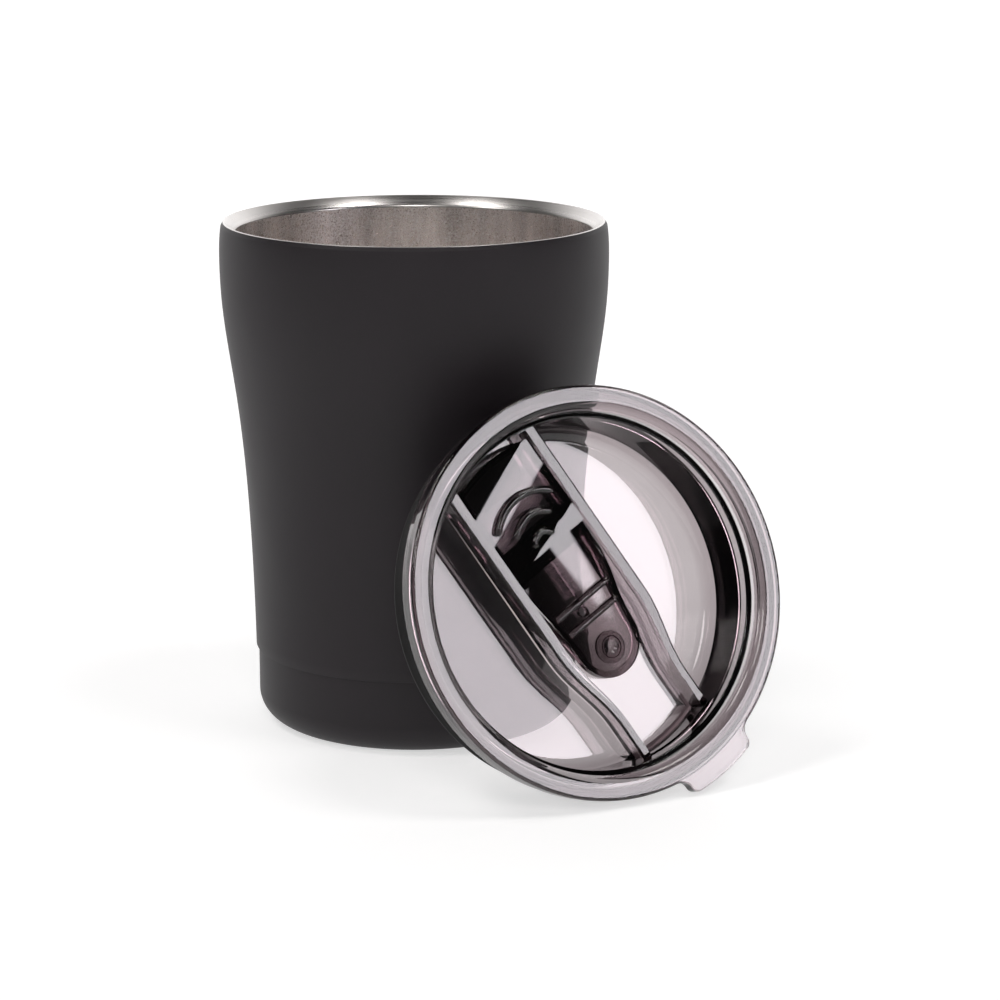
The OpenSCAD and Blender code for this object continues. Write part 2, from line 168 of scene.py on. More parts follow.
def drum(radius, low, top, steps=144):
    """A closed cylinder about the axis between two depths in millimetres."""
    return spun([(0, -low), (radius, -low), (radius, -top), (0, -top)], steps, closed=False)


def post(outline, x, steps):
    """A solid of revolution, from an open outline, whose axis stands at x."""
    bm = spun(outline, steps, closed=False)
    bmesh.ops.translate(bm, verts=bm.verts, vec=(x * MM, 0, 0))
    return bm


def plate(points, low, top, edge=0.0):
    """An outline extruded between two depths in millimetres, with its upper edge rounded."""
    bm = bmesh.new()
    face = bm.faces.new([bm.verts.new((x * MM, y * MM, -low * MM)) for x, y in points])
    grown = bmesh.ops.extrude_face_region(bm, geom=[face], use_keep_orig=True)
    moved = [g for g in grown["geom"] if isinstance(g, bmesh.types.BMVert)]
    bmesh.ops.translate(bm, verts=moved, vec=(0, 0, (low - top) * MM))
    if edge:
        top_edges = [e for e in bm.edges if all(v in moved for v in e.verts)]
        bmesh.ops.bevel(bm, geom=top_edges, offset=edge * MM, offset_type="OFFSET", segments=4,
                        profile=0.5, affect="EDGES", material=-1, clamp_overlap=True)
    bmesh.ops.recalc_face_normals(bm, faces=bm.faces)
    return bm


def block(low, high):
    """A closed box between two corners in millimetres."""
    bm = bmesh.new()
    bmesh.ops.create_cube(bm, size=1)
    middle, size = (Vector(low) + Vector(high)) / 2, Vector(high) - Vector(low)
    for vert in bm.verts:
        vert.co = Vector(c * s + m for c, s, m in zip(vert.co, size, middle)) * MM
    return bm


def plate_side(points, width):
    """An (x, z) outline extruded across Y."""
    bm = plate(points, width / 2, -width / 2)
    bmesh.ops.rotate(bm, verts=bm.verts, cent=(0, 0, 0), matrix=Matrix.Rotation(math.pi / 2, 3, "X"))
    return bm


def capsule(length, half_width, height, bend=None, middle=(0, 0, 0)):
    """A raised grip bar along Y with round ends, or along an arc whose radius is bend."""
    steps = 24
    ends = arc((0, length / 2), half_width, 0, 90, 6)
    side = [(half_width, length * (i / steps - 0.5)) for i in range(1, steps)]
    outline = [(r, -z) for r, z in reversed(ends)] + side + ends
    bm = spun([(max(r, 0.0), z) for r, z in outline], 20, closed=False)
    for vert in bm.verts:
        x, y, along = vert.co / MM
        z = y * height / half_width
        if bend:
            angle = along / bend
            x, along = -(bend - x) * math.cos(angle), (bend - x) * math.sin(angle)
        vert.co = Vector((x + middle[0], along + middle[1], z + middle[2])) * MM
    bmesh.ops.recalc_face_normals(bm, faces=bm.faces)
    return bm


def combined(start, steps):
    """The bmesh left after each (operation, bmesh) has been applied to start in turn."""
    made = []

    def solid(bm):
        mesh = bpy.data.meshes.new("working")
        bm.to_mesh(mesh)
        bm.free()
        made.append(bpy.data.objects.new("working", mesh))
        bpy.context.scene.collection.objects.link(made[-1])
        return made[-1]

    body = solid(start)
    for operation, tool in steps:
        modifier = body.modifiers.new("Step", "BOOLEAN")
        modifier.operation, modifier.solver, modifier.object = operation, "EXACT", solid(tool)
    result = bmesh.new()
    graph = bpy.context.evaluated_depsgraph_get()
    mesh = bpy.data.meshes.new_from_object(body.evaluated_get(graph))
    result.from_mesh(mesh)
    for item in made:
        bpy.data.objects.remove(item)
    bpy.data.meshes.remove(mesh)
    bmesh.ops.remove_doubles(result, verts=result.verts, dist=2e-6)
    bmesh.ops.dissolve_degenerate(result, edges=result.edges, dist=1e-6)
    return result


# -------------------------------- materials


class Finish:
    """A node material on Object coordinates, built a step at a time."""

    def __init__(self, name):
        self.material = bpy.data.materials.new(name)
        self.material.use_nodes = True
        self.tree = self.material.node_tree
        self.shader = self.tree.nodes["Principled BSDF"]
        self.output = self.tree.nodes["Material Output"]
        self.coords = self.add("ShaderNodeTexCoord").outputs["Object"]
        self.height = None

    def add(self, kind, **values):
        node = self.tree.nodes.new(kind)
        for key, value in values.items():
            setattr(node, key, value)
        return node

    def link(self, source, target):
        self.tree.links.new(source, target)

    def set(self, **values):
        for key, value in values.items():
            self.shader.inputs[key.replace("_", " ")].default_value = value
        return self

    def mapped(self, scale=(1, 1, 1), turn=(0, 0, 0), move=(0, 0, 0)):
        node = self.add("ShaderNodeMapping")
        node.inputs["Scale"].default_value = scale
        node.inputs["Rotation"].default_value = turn
        node.inputs["Location"].default_value = move
        self.link(self.coords, node.inputs["Vector"])
        return node.outputs["Vector"]

    def noise(self, scale, detail=4, rough=0.55, vector=None, distortion=0.0):
        node = self.add("ShaderNodeTexNoise")
        node.inputs["Scale"].default_value = scale
        node.inputs["Detail"].default_value = detail
        node.inputs["Roughness"].default_value = rough
        node.inputs["Distortion"].default_value = distortion
        self.link(vector or self.coords, node.inputs["Vector"])
        return node.outputs["Fac"]

    def spread(self, value, low, high, start=0.3, end=0.7):
        node = self.add("ShaderNodeMapRange")
        for key, number in (("From Min", start), ("From Max", end), ("To Min", low), ("To Max", high)):
            node.inputs[key].default_value = number
        self.link(value, node.inputs["Value"])
        return node.outputs["Result"]

    def blend(self, fac, a, b, mode="MIX"):
        node = self.add("ShaderNodeMix", data_type="RGBA", blend_type=mode)
        if isinstance(fac, float):
            node.inputs[0].default_value = fac
        else:
            self.link(fac, node.inputs[0])
        for socket, value in ((node.inputs[6], a), (node.inputs[7], b)):
            if isinstance(value, (tuple, list)):
                socket.default_value = (*value, 1)
            else:
                self.link(value, socket)
        return node.outputs[2]

    def colour(self, value):
        self.link(value, self.shader.inputs["Base Color"])
        return self

    def mottled(self, pattern, colour, factor):
        """Lets the colour wander with a pattern between itself and a shade of it."""
        return self.colour(self.blend(self.spread(pattern, 0, 1), shade(colour, factor), tuple(colour)))

    def roughness(self, value):
        self.link(value, self.shader.inputs["Roughness"])
        return self

    def bump(self, value, strength, depth):
        node = self.add("ShaderNodeBump")
        node.inputs["Strength"].default_value = strength
        node.inputs["Distance"].default_value = depth
        self.link(value, node.inputs["Height"])
        if self.height is not None:
            self.link(self.height, node.inputs["Normal"])
        self.height = node.outputs["Normal"]
        self.link(self.height, self.shader.inputs["Normal"])
        return self

    def absorb(self, colour, density):
        node = self.add("ShaderNodeVolumeAbsorption")
        node.inputs["Color"].default_value = (*colour, 1)
        node.inputs["Density"].default_value = density
        self.link(node.outputs["Volume"], self.output.inputs["Volume"])
        return self


def shade(colour, factor):
    """The colour made darker or lighter, up to white."""
    return tuple(min(1, c * factor) for c in colour)


def powder_coat(colour):
    """Satin powder coat: faint orange peel, and a dusting of fine lighter grains."""
    f = Finish("Powder coat")
    grain = f.noise(scale=5200, detail=3)
    cloud = f.noise(scale=38, detail=3)
    tone = f.blend(f.spread(cloud, 0, 1), tuple(colour), shade(colour, 1.35))
    dusting = f.spread(grain, 0, 0.35, start=0.56, end=0.72)
    f.colour(f.blend(dusting, tone, shade(colour, 2.6)))
    f.roughness(f.spread(cloud, 0.5, 0.56))
    f.bump(f.noise(scale=1500, detail=2), strength=0.12, depth=0.00006)
    f.bump(grain, strength=0.18, depth=0.00002)
    return f.set(Specular_IOR_Level=0.3, IOR=1.5).material


def blasted_steel(colour):
    """Fine bead-blasted steel with warm upright streaks and single bright grains."""
    f = Finish("Blasted steel")
    grain = f.noise(scale=2300, detail=3, rough=0.75)
    streaks = f.noise(scale=150, detail=4, rough=0.6, vector=f.mapped(scale=(1, 1, 0.12)))
    streaked = f.spread(streaks, 0, 1, start=0.35, end=0.65)
    tone = f.blend(streaked, shade(colour, 0.6), tuple(colour))
    bright = f.spread(grain, 0, 0.75, start=0.45, end=0.68)
    f.colour(f.blend(bright, tone, shade(colour, 1.35)))
    f.roughness(f.spread(grain, 0.22, 0.38))
    f.bump(grain, strength=0.6, depth=0.00006)
    return f.set(Metallic=1.0).material


def polished_steel(colour):
    """Polished steel with hair-fine rings left by the buffing wheel."""
    f = Finish("Polished steel")
    rings = f.noise(scale=900, detail=2, rough=0.5, vector=f.mapped(scale=(0.02, 0.02, 4)))
    f.mottled(f.noise(scale=90, detail=3), colour, 0.9)
    f.roughness(f.spread(rings, 0.25, 0.33))
    f.bump(rings, strength=0.05, depth=0.00002)
    return f.set(Metallic=1.0).material


def plain_steel(colour):
    """Mill-finish sheet: faint rolling lines and clouds."""
    f = Finish("Plain steel")
    lines = f.noise(scale=400, detail=3, rough=0.6, vector=f.mapped(scale=(0.08, 3, 1)))
    f.mottled(f.noise(scale=150, detail=3), colour, 0.85)
    f.roughness(f.spread(lines, 0.28, 0.42))
    f.bump(lines, strength=0.12, depth=0.00003)
    return f.set(Metallic=1.0).material


def turned_steel(colour):
    """Turned face of the base cap: concentric rings about the cup's axis."""
    f = Finish("Turned steel")
    rings = f.add("ShaderNodeTexWave", wave_type="RINGS", rings_direction="Z")
    for key, value in (("Scale", 260), ("Distortion", 1.2), ("Detail", 3), ("Detail Scale", 40)):
        rings.inputs[key].default_value = value
    f.link(f.coords, rings.inputs["Vector"])
    f.mottled(f.noise(scale=120, detail=3), colour, 0.82)
    f.roughness(f.spread(rings.outputs["Fac"], 0.24, 0.38, start=0, end=1))
    f.bump(rings.outputs["Fac"], strength=0.1, depth=0.00002)
    return f.set(Metallic=1.0).material


def sealing_glass(colour):
    """Dull solder glass with small bubbles."""
    f = Finish("Sealing glass")
    bubbles = f.noise(scale=2600, detail=4)
    f.mottled(bubbles, colour, 0.7)
    f.roughness(f.spread(bubbles, 0.12, 0.3))
    f.bump(bubbles, strength=0.1, depth=0.00004)
    return f.set(IOR=1.52).material


def getter_alloy(colour):
    """Pressed alloy powder: coarse dull grains."""
    f = Finish("Getter alloy")
    grain = f.noise(scale=4200, detail=5, rough=0.7)
    f.mottled(grain, colour, 0.6)
    f.roughness(f.spread(grain, 0.6, 0.8))
    f.bump(grain, strength=0.5, depth=0.00008)
    return f.set(Metallic=0.7).material


def copper_foil(colour):
    """Copper foil with faint wrinkles and a little tarnish."""
    f = Finish("Copper foil")
    upright = f.mapped(scale=(1, 1, 0.35))
    wrinkle = f.noise(scale=140, detail=5, rough=0.6, vector=upright, distortion=0.4)
    tarnish = f.noise(scale=45, detail=3)
    f.mottled(tarnish, colour, 0.72)
    f.roughness(f.spread(tarnish, 0.22, 0.38))
    f.bump(wrinkle, strength=0.35, depth=0.0002)
    return f.set(Metallic=1.0).material


def smoke_plastic(name, tint, density):
    """Clear smoke moulding: the tint is in its depth, and hair-fine scuffs lie on its surface."""
    f = Finish(name)
    slanted = f.mapped(scale=(1, 0.08, 0.5), turn=(0.3, 0.5, 0.8))
    scuffs = f.noise(scale=700, detail=3, rough=0.6, vector=slanted)
    flow = f.noise(scale=55, detail=2)
    f.colour(f.blend(f.spread(flow, 0, 1), (0.97, 0.965, 0.965), (1.0, 1.0, 1.0)))
    f.roughness(f.spread(scuffs, 0.006, 0.05, start=0.5, end=0.85))
    f.bump(flow, strength=0.06, depth=0.0004)
    f.absorb(tint, density)
    return f.set(Transmission_Weight=1.0, IOR=1.52).material


def silicone(colour):
    """Matt black silicone with a fine dusty bloom."""
    f = Finish("Black silicone")
    dust = f.noise(scale=900, detail=4, rough=0.6)
    bloom = f.spread(dust, 0, 0.5, start=0.5, end=0.8)
    f.colour(f.blend(bloom, tuple(colour), shade(colour, 2.4)))
    f.roughness(f.spread(dust, 0.42, 0.6))
    f.bump(f.noise(scale=2400, detail=3), strength=0.1, depth=0.00003)
    return f.set(Specular_IOR_Level=0.4, IOR=1.41).material


def floor_finish(colour):
    """Pale matt floor with a barely visible mottle, lit a little from below like a light table."""
    f = Finish("Pale floor")
    mottle = f.noise(scale=9, detail=4)
    f.mottled(mottle, colour, 0.992)
    f.roughness(f.spread(mottle, 0.85, 0.95))
    f.bump(f.noise(scale=240, detail=3), strength=0.02, depth=0.0002)
    glow = (1.0, 1.0, 1.0, 1.0)
    return f.set(Specular_IOR_Level=0.1, Emission_Color=glow, Emission_Strength=0.58).material


# -------------------------------- settings that a user would change


def length(name, description, millimetres):
    return FloatProperty(name=name, description=description, default=millimetres * MM, unit="LENGTH",
                         precision=5)


def tone(name, description, *colour):
    return FloatVectorProperty(name=name, description=description, default=colour, subtype="COLOR",
                               min=0, max=1)


class CupSizes(bpy.types.PropertyGroup):
    rim_r: length("Rim radius", "Outer radius at the rim", 43)
    bulge_r: length("Bulge radius", "Largest outer radius, below the rim", 43.85)
    bulge_z: length("Bulge height", "Height of the largest radius", 107.5)
    height: length("Height", "Height from the table to the rim", 115)
    waist_r: length("Waist radius", "Outer radius at the shell's lower edge", 36.95)
    step_z: length("Step height", "Height of the shell's lower edge", 17.4)
    foot_r: length("Foot radius", "Corner radius at the foot", 7)
    wall: length("Outer wall", "Wall of the shell and of the base", 0.6)
    liner: length("Liner wall", "Wall of the liner", 0.5)
    gap: length("Vacuum gap", "Smallest gap between shell and liner", 1.5)
    mouth_r: length("Mouth radius", "Radius of the straight mouth", 40.15)
    mouth_len: length("Mouth length", "Length of the straight mouth", 20)
    bevel_h: length("Bevel height", "Height of the polished bevel", 2.1)
    rim_edge: length("Weld ring width", "Width of the bright ring on the rim", 0.45)
    floor_z: length("Inside floor", "Height of the inside floor", 11)
    corner_r: length("Inside corner", "Corner radius of the inside floor", 8)


class LidSizes(bpy.types.PropertyGroup):
    flange_r: length("Flange radius", "Outer radius of the flange", 44.3)
    lip_h: length("Lip height", "Height of the flange's upper lip", 3.1)
    flange_h: length("Flange height", "Height of the whole flange", 6.6)
    skirt_step: length("Skirt step", "How far the skirt steps in below the lip", 0.6)
    wall: length("Wall", "Wall of the skirt, the bridge and the floor", 1.9)
    plug_r: length("Plug radius", "Radius of the plug", 39.5)
    plug_wall: length("Plug wall", "Wall of the plug", 1.8)
    depth: length("Recess depth", "Depth of the recess", 19)
    step: length("Recess step", "How far the recess steps in below its mouth", 1.1)
    brow_r: length("Brow radius", "Fillet between the flange's top and the recess", 2)
    floor_fillet: length("Floor fillet", "Fillet round the recess floor", 3)
    groove: length("Groove depth", "Depth of the gasket's groove", 0.6)
    fin_r: length("Fin radius", "Radius of the gasket's fins", 41.1)
    tab_w: length("Tab width", "Width of the pull tab", 18)
    tab_out: length("Tab reach", "How far the pull tab stands out", 3.8)
    tab_t: length("Tab thickness", "Thickness of the pull tab", 2.4)


class SliderSizes(bpy.types.PropertyGroup):
    width: length("Width", "Width across the guide flanges", 22.2)
    depth: length("Depth", "Depth of its top below the flange's top", 8.2)
    height: length("Height", "Height of the slider", 5)
    wall: length("Wall", "Wall of the slider", 1.5)
    tip_r: length("Tip radius", "Radius of the round tip", 8)
    tip_x: length("Tip place", "Distance of the tip's centre from the lid's centre", 12)
    taper: length("Taper length", "Length of the taper behind the tip", 20)
    travel: length("Travel", "How far the slider travels", 13)
    taper_room: length("Taper room", "How far behind the open slider its guide narrows", 2.6)
    gap: length("Clearance", "Clearance round the slider", 0.35)
    rail_lip: length("Rail lip", "How far the rails lip over the slider", 0.5)
    step_h: length("Step", "Height of the step between its two levels", 1.2)
    drink_len: length("Drink opening length", "Length of the drink opening", 10)
    drink_w: length("Drink opening width", "Width of the drink opening", 16)


class StudioSizes(bpy.types.PropertyGroup):
    facets: IntProperty(name="Facets round the cup", description="Steps of every full turn",
                        default=192, min=32, max=512)
    camera_height: length("Camera height", "Height of the lens above the floor", 213.75)
    camera_distance: length("Camera distance", "Distance of the lens from the cup's axis", 715.27)
    camera_pitch: FloatProperty(name="Camera pitch", description="How far the camera looks down",
                                default=math.radians(12.874), unit="ROTATION")
    camera_turn: FloatProperty(name="Camera turn", description="How far the camera turns to the lid",
                               default=math.radians(1.545), unit="ROTATION")
    lens: FloatProperty(name="Focal length", description="Focal length on a 36 mm sensor, in millimetres",
                        default=115.2, min=20, max=400)
    floor_radius: length("Floor radius", "Radius of the round floor", 9000)


class Measures:
    """A property group's lengths in millimetres."""

    def __init__(self, group):
        for key in group.__annotations__:
            setattr(self, key, getattr(group, key) / MM)


class MugColours(bpy.types.PropertyGroup):
    coat: tone("Powder coat", "Colour of the coat", 0.0108, 0.0082, 0.0102)
    blasted: tone("Blasted steel", "Colour inside the cup", 0.9, 0.82, 0.78)
    polished: tone("Polished steel", "Colour of the lip", 0.52, 0.5, 0.485)
    smoke: tone("Smoke tint", "Tint of the lid's moulding", 0.16, 0.05, 0.08)
    silicone: tone("Silicone", "Colour of the gasket", 0.008, 0.0075, 0.008)
    floor: tone("Floor", "Colour of the floor", 0.6, 0.6, 0.6)


def placed(piece, body, slot, *nodes):
    """Rides on a body and stands for CAD nodes, which it hides. Its slot is not used."""
    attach(piece, body)
    if nodes:
        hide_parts(*nodes)
    return piece


def paint(node, material):
    """Gives a CAD node its material."""
    slots = NODES[node].data.materials
    slots.clear()
    slots.append(material)


# -------------------------------- outlines


def body_line(c, steps=72):
    """Outline of the body: a cubic curve from the step to the bulge, then a quarter turn to the rim."""
    rise, turns = c.bulge_z - c.step_z, 16
    knots = [Vector(p) for p in ((c.waist_r, c.step_z), (c.waist_r + 1.1, c.step_z + 0.72 * rise),
                                 (c.bulge_r, c.bulge_z - 25), (c.bulge_r, c.bulge_z))]
    line = []
    for i in range(steps + 1):
        t = i / steps
        u = 1 - t
        line.append(tuple(knots[0] * u ** 3 + knots[1] * 3 * t * u * u
                          + knots[2] * 3 * t * t * u + knots[3] * t ** 3))
    for i in range(1, turns + 1):
        a = math.radians(90 * i / turns)
        line.append((c.bulge_r - (c.bulge_r - c.rim_r) * (1 - math.cos(a)),
                     c.bulge_z + (c.height - c.bulge_z) * math.sin(a)))
    return line


def radius_at(line, z):
    """Radius of a rising outline at a height."""
    for (r0, z0), (r1, z1) in zip(line, line[1:]):
        if z <= z1:
            return r0 + (r1 - r0) * max(0, z - z0) / (z1 - z0)
    return line[-1][0]


def shell_section(c):
    """Section of the outer shell, with a softened lower edge."""
    line = body_line(c)
    top, lap = c.height - RING_H, c.step_z + LAP
    outside = [p for p in line if p[1] < top - 0.2] + [(radius_at(line, top), top)]
    inside = [(r - c.wall, z) for r, z in outside if z > lap][::3]
    base_r = c.waist_r - c.wall
    edge = [(c.waist_r - 0.18, c.step_z), (c.waist_r - 0.05, c.step_z + 0.05),
            (c.waist_r, c.step_z + 0.18)]
    return (edge + outside[1:] + [(outside[-1][0] - c.wall, top)] + inside[::-1]
            + [(radius_at(line, lap) - c.wall, lap), (base_r, lap), (base_r, c.step_z)])


def base_section(c):
    """Section of the base: foot ring, rounded foot, upright wall and the shelf inside the ring."""
    base_r, shelf_z = c.waist_r - c.wall, 1.6
    corner = (base_r - c.foot_r, c.foot_r)
    ring_r, shelf_r = base_r - c.foot_r - 4.3, base_r - c.foot_r - 9.3
    shelf_top = shelf_z + c.wall
    return ([(ring_r, 0)] + arc(corner, c.foot_r, -90, 0, 24)
            + [(base_r, c.step_z + LAP), (base_r - c.wall, c.step_z + LAP)]
            + arc(corner, c.foot_r - c.wall, 0, -90, 12)
            + [(ring_r + c.wall, c.wall), (ring_r + c.wall - shelf_z, shelf_top), (shelf_r, shelf_top),
               (shelf_r, shelf_z), (ring_r - shelf_z, shelf_z)])


def liner_line(c):
    """Inside of the liner, from its seam with the floor to the polished bevel."""
    line = body_line(c)
    seam, bevel = c.floor_z + c.corner_r, c.height - c.bevel_h
    low = bevel - c.mouth_len
    side, rows = [], 48
    for i in range(rows):
        z = seam + (low - seam) * i / rows
        side.append((min(c.mouth_r, radius_at(line, max(z, c.step_z)) - c.wall - c.gap - c.liner), z))
    return side + [(c.mouth_r, low), (c.mouth_r, bevel - 0.5)]


def lip_bevel(c):
    """The flared lip from the mouth out to the weld ring, with an eased start."""
    bevel = c.height - c.bevel_h
    lip_r = c.rim_r - c.rim_edge
    slope = (lip_r - c.mouth_r) / c.bevel_h
    return [(c.mouth_r + 0.04, bevel - 0.2), (c.mouth_r + 0.2, bevel + 0.05),
            (c.mouth_r + 0.4, bevel + 0.4 / slope), (lip_r, c.height)]


def recess_radius(d):
    """Radius of the lid's recess at its floor."""
    return d.plug_r - d.plug_wall - RECESS_DRAFT


def pad_end(d):
    """Radius of the slider's round end."""
    return recess_radius(d) - PAD_ROOM


def lid_section(d):
    """Section of the lid: recess, stepped mouth, flange, and plug with the gasket's groove."""
    low_r = recess_radius(d)
    top_r = low_r + RECESS_DRAFT
    mouth_r = top_r + d.step
    skirt_r, bottom = d.flange_r - d.skirt_step, d.depth + d.wall
    groove_top, groove_low = d.flange_h + 1.2, d.depth - 1.8
    seat = d.plug_r - d.groove
    inner = d.flange_r - d.skirt_step - d.wall
    fillet = d.floor_fillet + 0.5
    points = [(0, -d.depth)]
    points += arc((low_r - d.floor_fillet, d.floor_fillet - d.depth), d.floor_fillet, -90, 0, 14)
    points += [(top_r, -d.lip_h - 0.9)]
    points += arc((top_r + 0.35, -d.lip_h - 0.85), 0.35, 180, 90, 5)
    points += [(mouth_r - 0.2, -d.lip_h - 0.42)]
    points += arc((mouth_r - 0.2, -d.lip_h - 0.22), 0.2, -90, 0, 4)
    points += arc((mouth_r + d.brow_r, -d.brow_r), d.brow_r, 180, 90, 16)
    points += arc((d.flange_r - 0.7, -0.7), 0.7, 90, 0, 8)
    points += [(d.flange_r - 0.05, -d.lip_h + 0.25)]
    points += arc((d.flange_r - 0.35, -d.lip_h + 0.1), 0.28, 0, -80, 4)
    points += [(skirt_r + 0.05, -d.lip_h - 0.25), (skirt_r, -d.lip_h - 0.5)]
    points += arc((skirt_r - 0.5, -d.flange_h + 0.4), 0.4, 0, -90, 5)
    points += arc((inner + 0.35, -d.flange_h + 0.35), 0.35, -90, -180, 5)
    points += [(inner, -d.wall - 0.9)]
    points += arc((inner - 0.5, -d.wall - 0.8), 0.5, 0, 90, 5)
    points += arc((d.plug_r + 0.5, -d.wall - 0.8), 0.5, 90, 180, 5)
    points += [(d.plug_r, -groove_top), (seat, -groove_top), (seat, -groove_low), (d.plug_r, -groove_low)]
    points += arc((d.plug_r - fillet, fillet - bottom), fillet, 0, -90, 14)
    return points + [(0, -bottom)]


def taper_width(x, start, end, wide, narrow):
    """Half width at x, eased from wide to narrow between start and end."""
    t = min(1, max(0, (x - start) / (end - start)))
    return narrow + (wide - narrow) * (1 + math.cos(math.pi * t)) / 2


def taper_side(k, half_width, radius, shift, back):
    """One side of the slider or of its guide: straight, and then eased in to a smaller half width."""
    end = k.tip_x + shift
    start = end - k.taper
    straight = [(back + (start - back) * i / 8, half_width) for i in range(8)]
    eased = [start + (end - start) * i / 24 for i in range(25)]
    return straight + [(x, taper_width(x, start, end, half_width, radius)) for x in eased]


def tongue(k, half_width, radius, back):
    """Outline of the slider, with its round tip."""
    side = taper_side(k, half_width, radius, 0, back)
    return ([(x, -y) for x, y in side] + arc((k.tip_x, 0), radius, -84, 84, 40)
            + [(x, y) for x, y in reversed(side)])


def guide(k, half_width, radius, back):
    """Outline of the bridge or of its channel, which run on to the recess wall."""
    side = taper_side(k, half_width, radius, k.travel + k.taper_room, back)
    side += [(side[-1][0] + (-back - side[-1][0]) * i / 6, radius) for i in range(1, 7)]
    return [(x, -y) for x, y in side] + [(x, y) for x, y in reversed(side)]


def tab_outline(d):
    """Outline of the pull tab: hollow blends out of the flange, and rounded corners."""
    corner, blend = 2, 2.5
    reach, half, edge = d.flange_r + d.tab_out, d.tab_w / 2, d.flange_r + blend
    blend_x = math.sqrt(edge ** 2 - (half + blend) ** 2)
    corner_x = math.sqrt((reach - corner) ** 2 - (half - corner) ** 2)
    turn = math.degrees(math.atan2(half + blend, blend_x))
    end_turn = math.degrees(math.atan2(half - corner, corner_x))
    upper = [(d.flange_r - 3, (half + blend) * d.flange_r / edge - 0.3)]
    upper += arc((blend_x, half + blend), blend, turn - 180, -90, 10)
    upper += arc((corner_x, half - corner), corner, 90, end_turn, 10)
    upper += arc((0, 0), reach, end_turn, 0, 8)[1:]
    return upper + [(x, -y) for x, y in reversed(upper[:-1])]


# -------------------------------- solids of the lid


def bridge(d, k):
    """The raised bridge across the recess."""
    low_r, bottom = recess_radius(d), d.depth + d.wall
    half, tip = k.width / 2 + k.gap, k.tip_r + k.gap
    outline = guide(k, half + d.wall, tip + d.wall, -low_r - 1.5)
    return combined(plate(outline, bottom - 0.4, k.depth + 0.2, edge=0.45),
                    [("INTERSECT", drum(low_r + 0.7, bottom + PAST, 0))])


def bridge_cutters(d, k):
    """The slider's channel, the slot between the rails, the hollow underneath and the two openings."""
    low_r, back = recess_radius(d), -recess_radius(d) - 1.5
    half, tip = k.width / 2 + k.gap, k.tip_r + k.gap
    rail_top, deck, bottom = k.depth + 0.2, k.depth + k.height + 0.2, d.depth + d.wall
    channel = combined(plate(guide(k, half, tip, back), deck, k.depth + k.wall + k.gap),
                       [("INTERSECT", drum(low_r, deck + PAST, 0))])
    slot = combined(plate(guide(k, half - k.rail_lip, tip + 0.03, back - 0.2), deck - 0.2, rail_top - PAST),
                    [("INTERSECT", drum(low_r - 0.02, deck + PAST, 0))])
    hollow = combined(plate(guide(k, half, tip, back), bottom + PAST, deck + d.wall, edge=0.6),
                      [("INTERSECT", drum(d.plug_r - d.floor_fillet - 0.1, bottom + PAST, 0))])

    # The drink opening lies under the thumb pad, and the air hole near the lid's middle
    reach, half_w, end_r, air_r = k.drink_len / 2, k.drink_w / 2, pad_end(d), 1.2
    corners = [(-reach, -half_w), (reach, -half_w), (reach, half_w), (-reach, half_w)]
    hole = [(x - end_r - 1 + reach, y) for x, y in rounded(corners, radius=4, steps=8)]
    drink = combined(plate(hole, deck + d.wall + PAST, deck - PAST),
                     [("INTERSECT", drum(end_r - 1, deck + 5, 0))])
    low, high = -deck - d.wall - PAST, -deck + PAST
    air = post([(0, low), (air_r, low), (air_r, high), (0, high)], k.tip_x / 3, 32)
    return channel, slot, hollow, drink, air


# -------------------------------- solids of the slider


def step_place(k):
    """Where the slider's top steps down from the thumb pad to the tongue."""
    return k.tip_x - k.taper - 1.7


def dimple_place(k):
    return k.tip_x + 1.6


def tongue_z(k, x):
    """Height of the falling tongue."""
    return -(k.depth + k.step_h) - (x - step_place(k)) * FALL


def slider_blank(d, k):
    """The slider in plan with its guide flanges, cut off round at the pad's end."""
    low, end_r = k.depth + k.height, pad_end(d)
    back, shoulder = -end_r - 2, k.depth + k.wall + 2 * k.gap
    flanges = plate(tongue(k, k.width / 2, k.tip_r, back), low, shoulder, edge=0.2)
    upper = plate(tongue(k, k.width / 2 - k.rail_lip, k.tip_r - 0.02, back), low - 0.02, k.depth, edge=0.7)
    return combined(flanges, [("UNION", upper), ("INTERSECT", drum(end_r, low + 1, k.depth - 1))])


def pad_hollow(d, k):
    """Cutter for the hollow under the thumb pad."""
    low, inner, end_r = k.depth + k.height, k.width / 2 - k.wall, pad_end(d)
    outline = tongue(k, inner, k.tip_r - k.wall, -end_r - 2)
    side_x = step_place(k) - 7.8
    pad_end_only = block((side_x - FAR, -FAR / 2, -FAR / 2), (side_x, FAR / 2, FAR / 2))
    return combined(plate(outline, low + PAST, k.depth + k.wall + 0.7, edge=0.4),
                    [("INTERSECT", drum(end_r - k.wall, low + 2, 0)), ("INTERSECT", pad_end_only)])


def tongue_hollow(k):
    """Cutter for the hollow under the tongue, whose roof falls with it."""
    low, inner, start = k.depth + k.height, k.width / 2 - k.wall, step_place(k) - 1
    outline = tongue(k, inner, k.tip_r - k.wall, step_place(k))
    under_roof = plate_side([(start, -low - 2), (FAR, -low - 2), (FAR, tongue_z(k, FAR) - k.wall - 0.4),
                             (start, tongue_z(k, start) - k.wall - 0.4)], FAR)
    return combined(plate(outline, low + PAST, k.depth + k.step_h + k.wall + 0.4, edge=0.4),
                    [("INTERSECT", under_roof)])


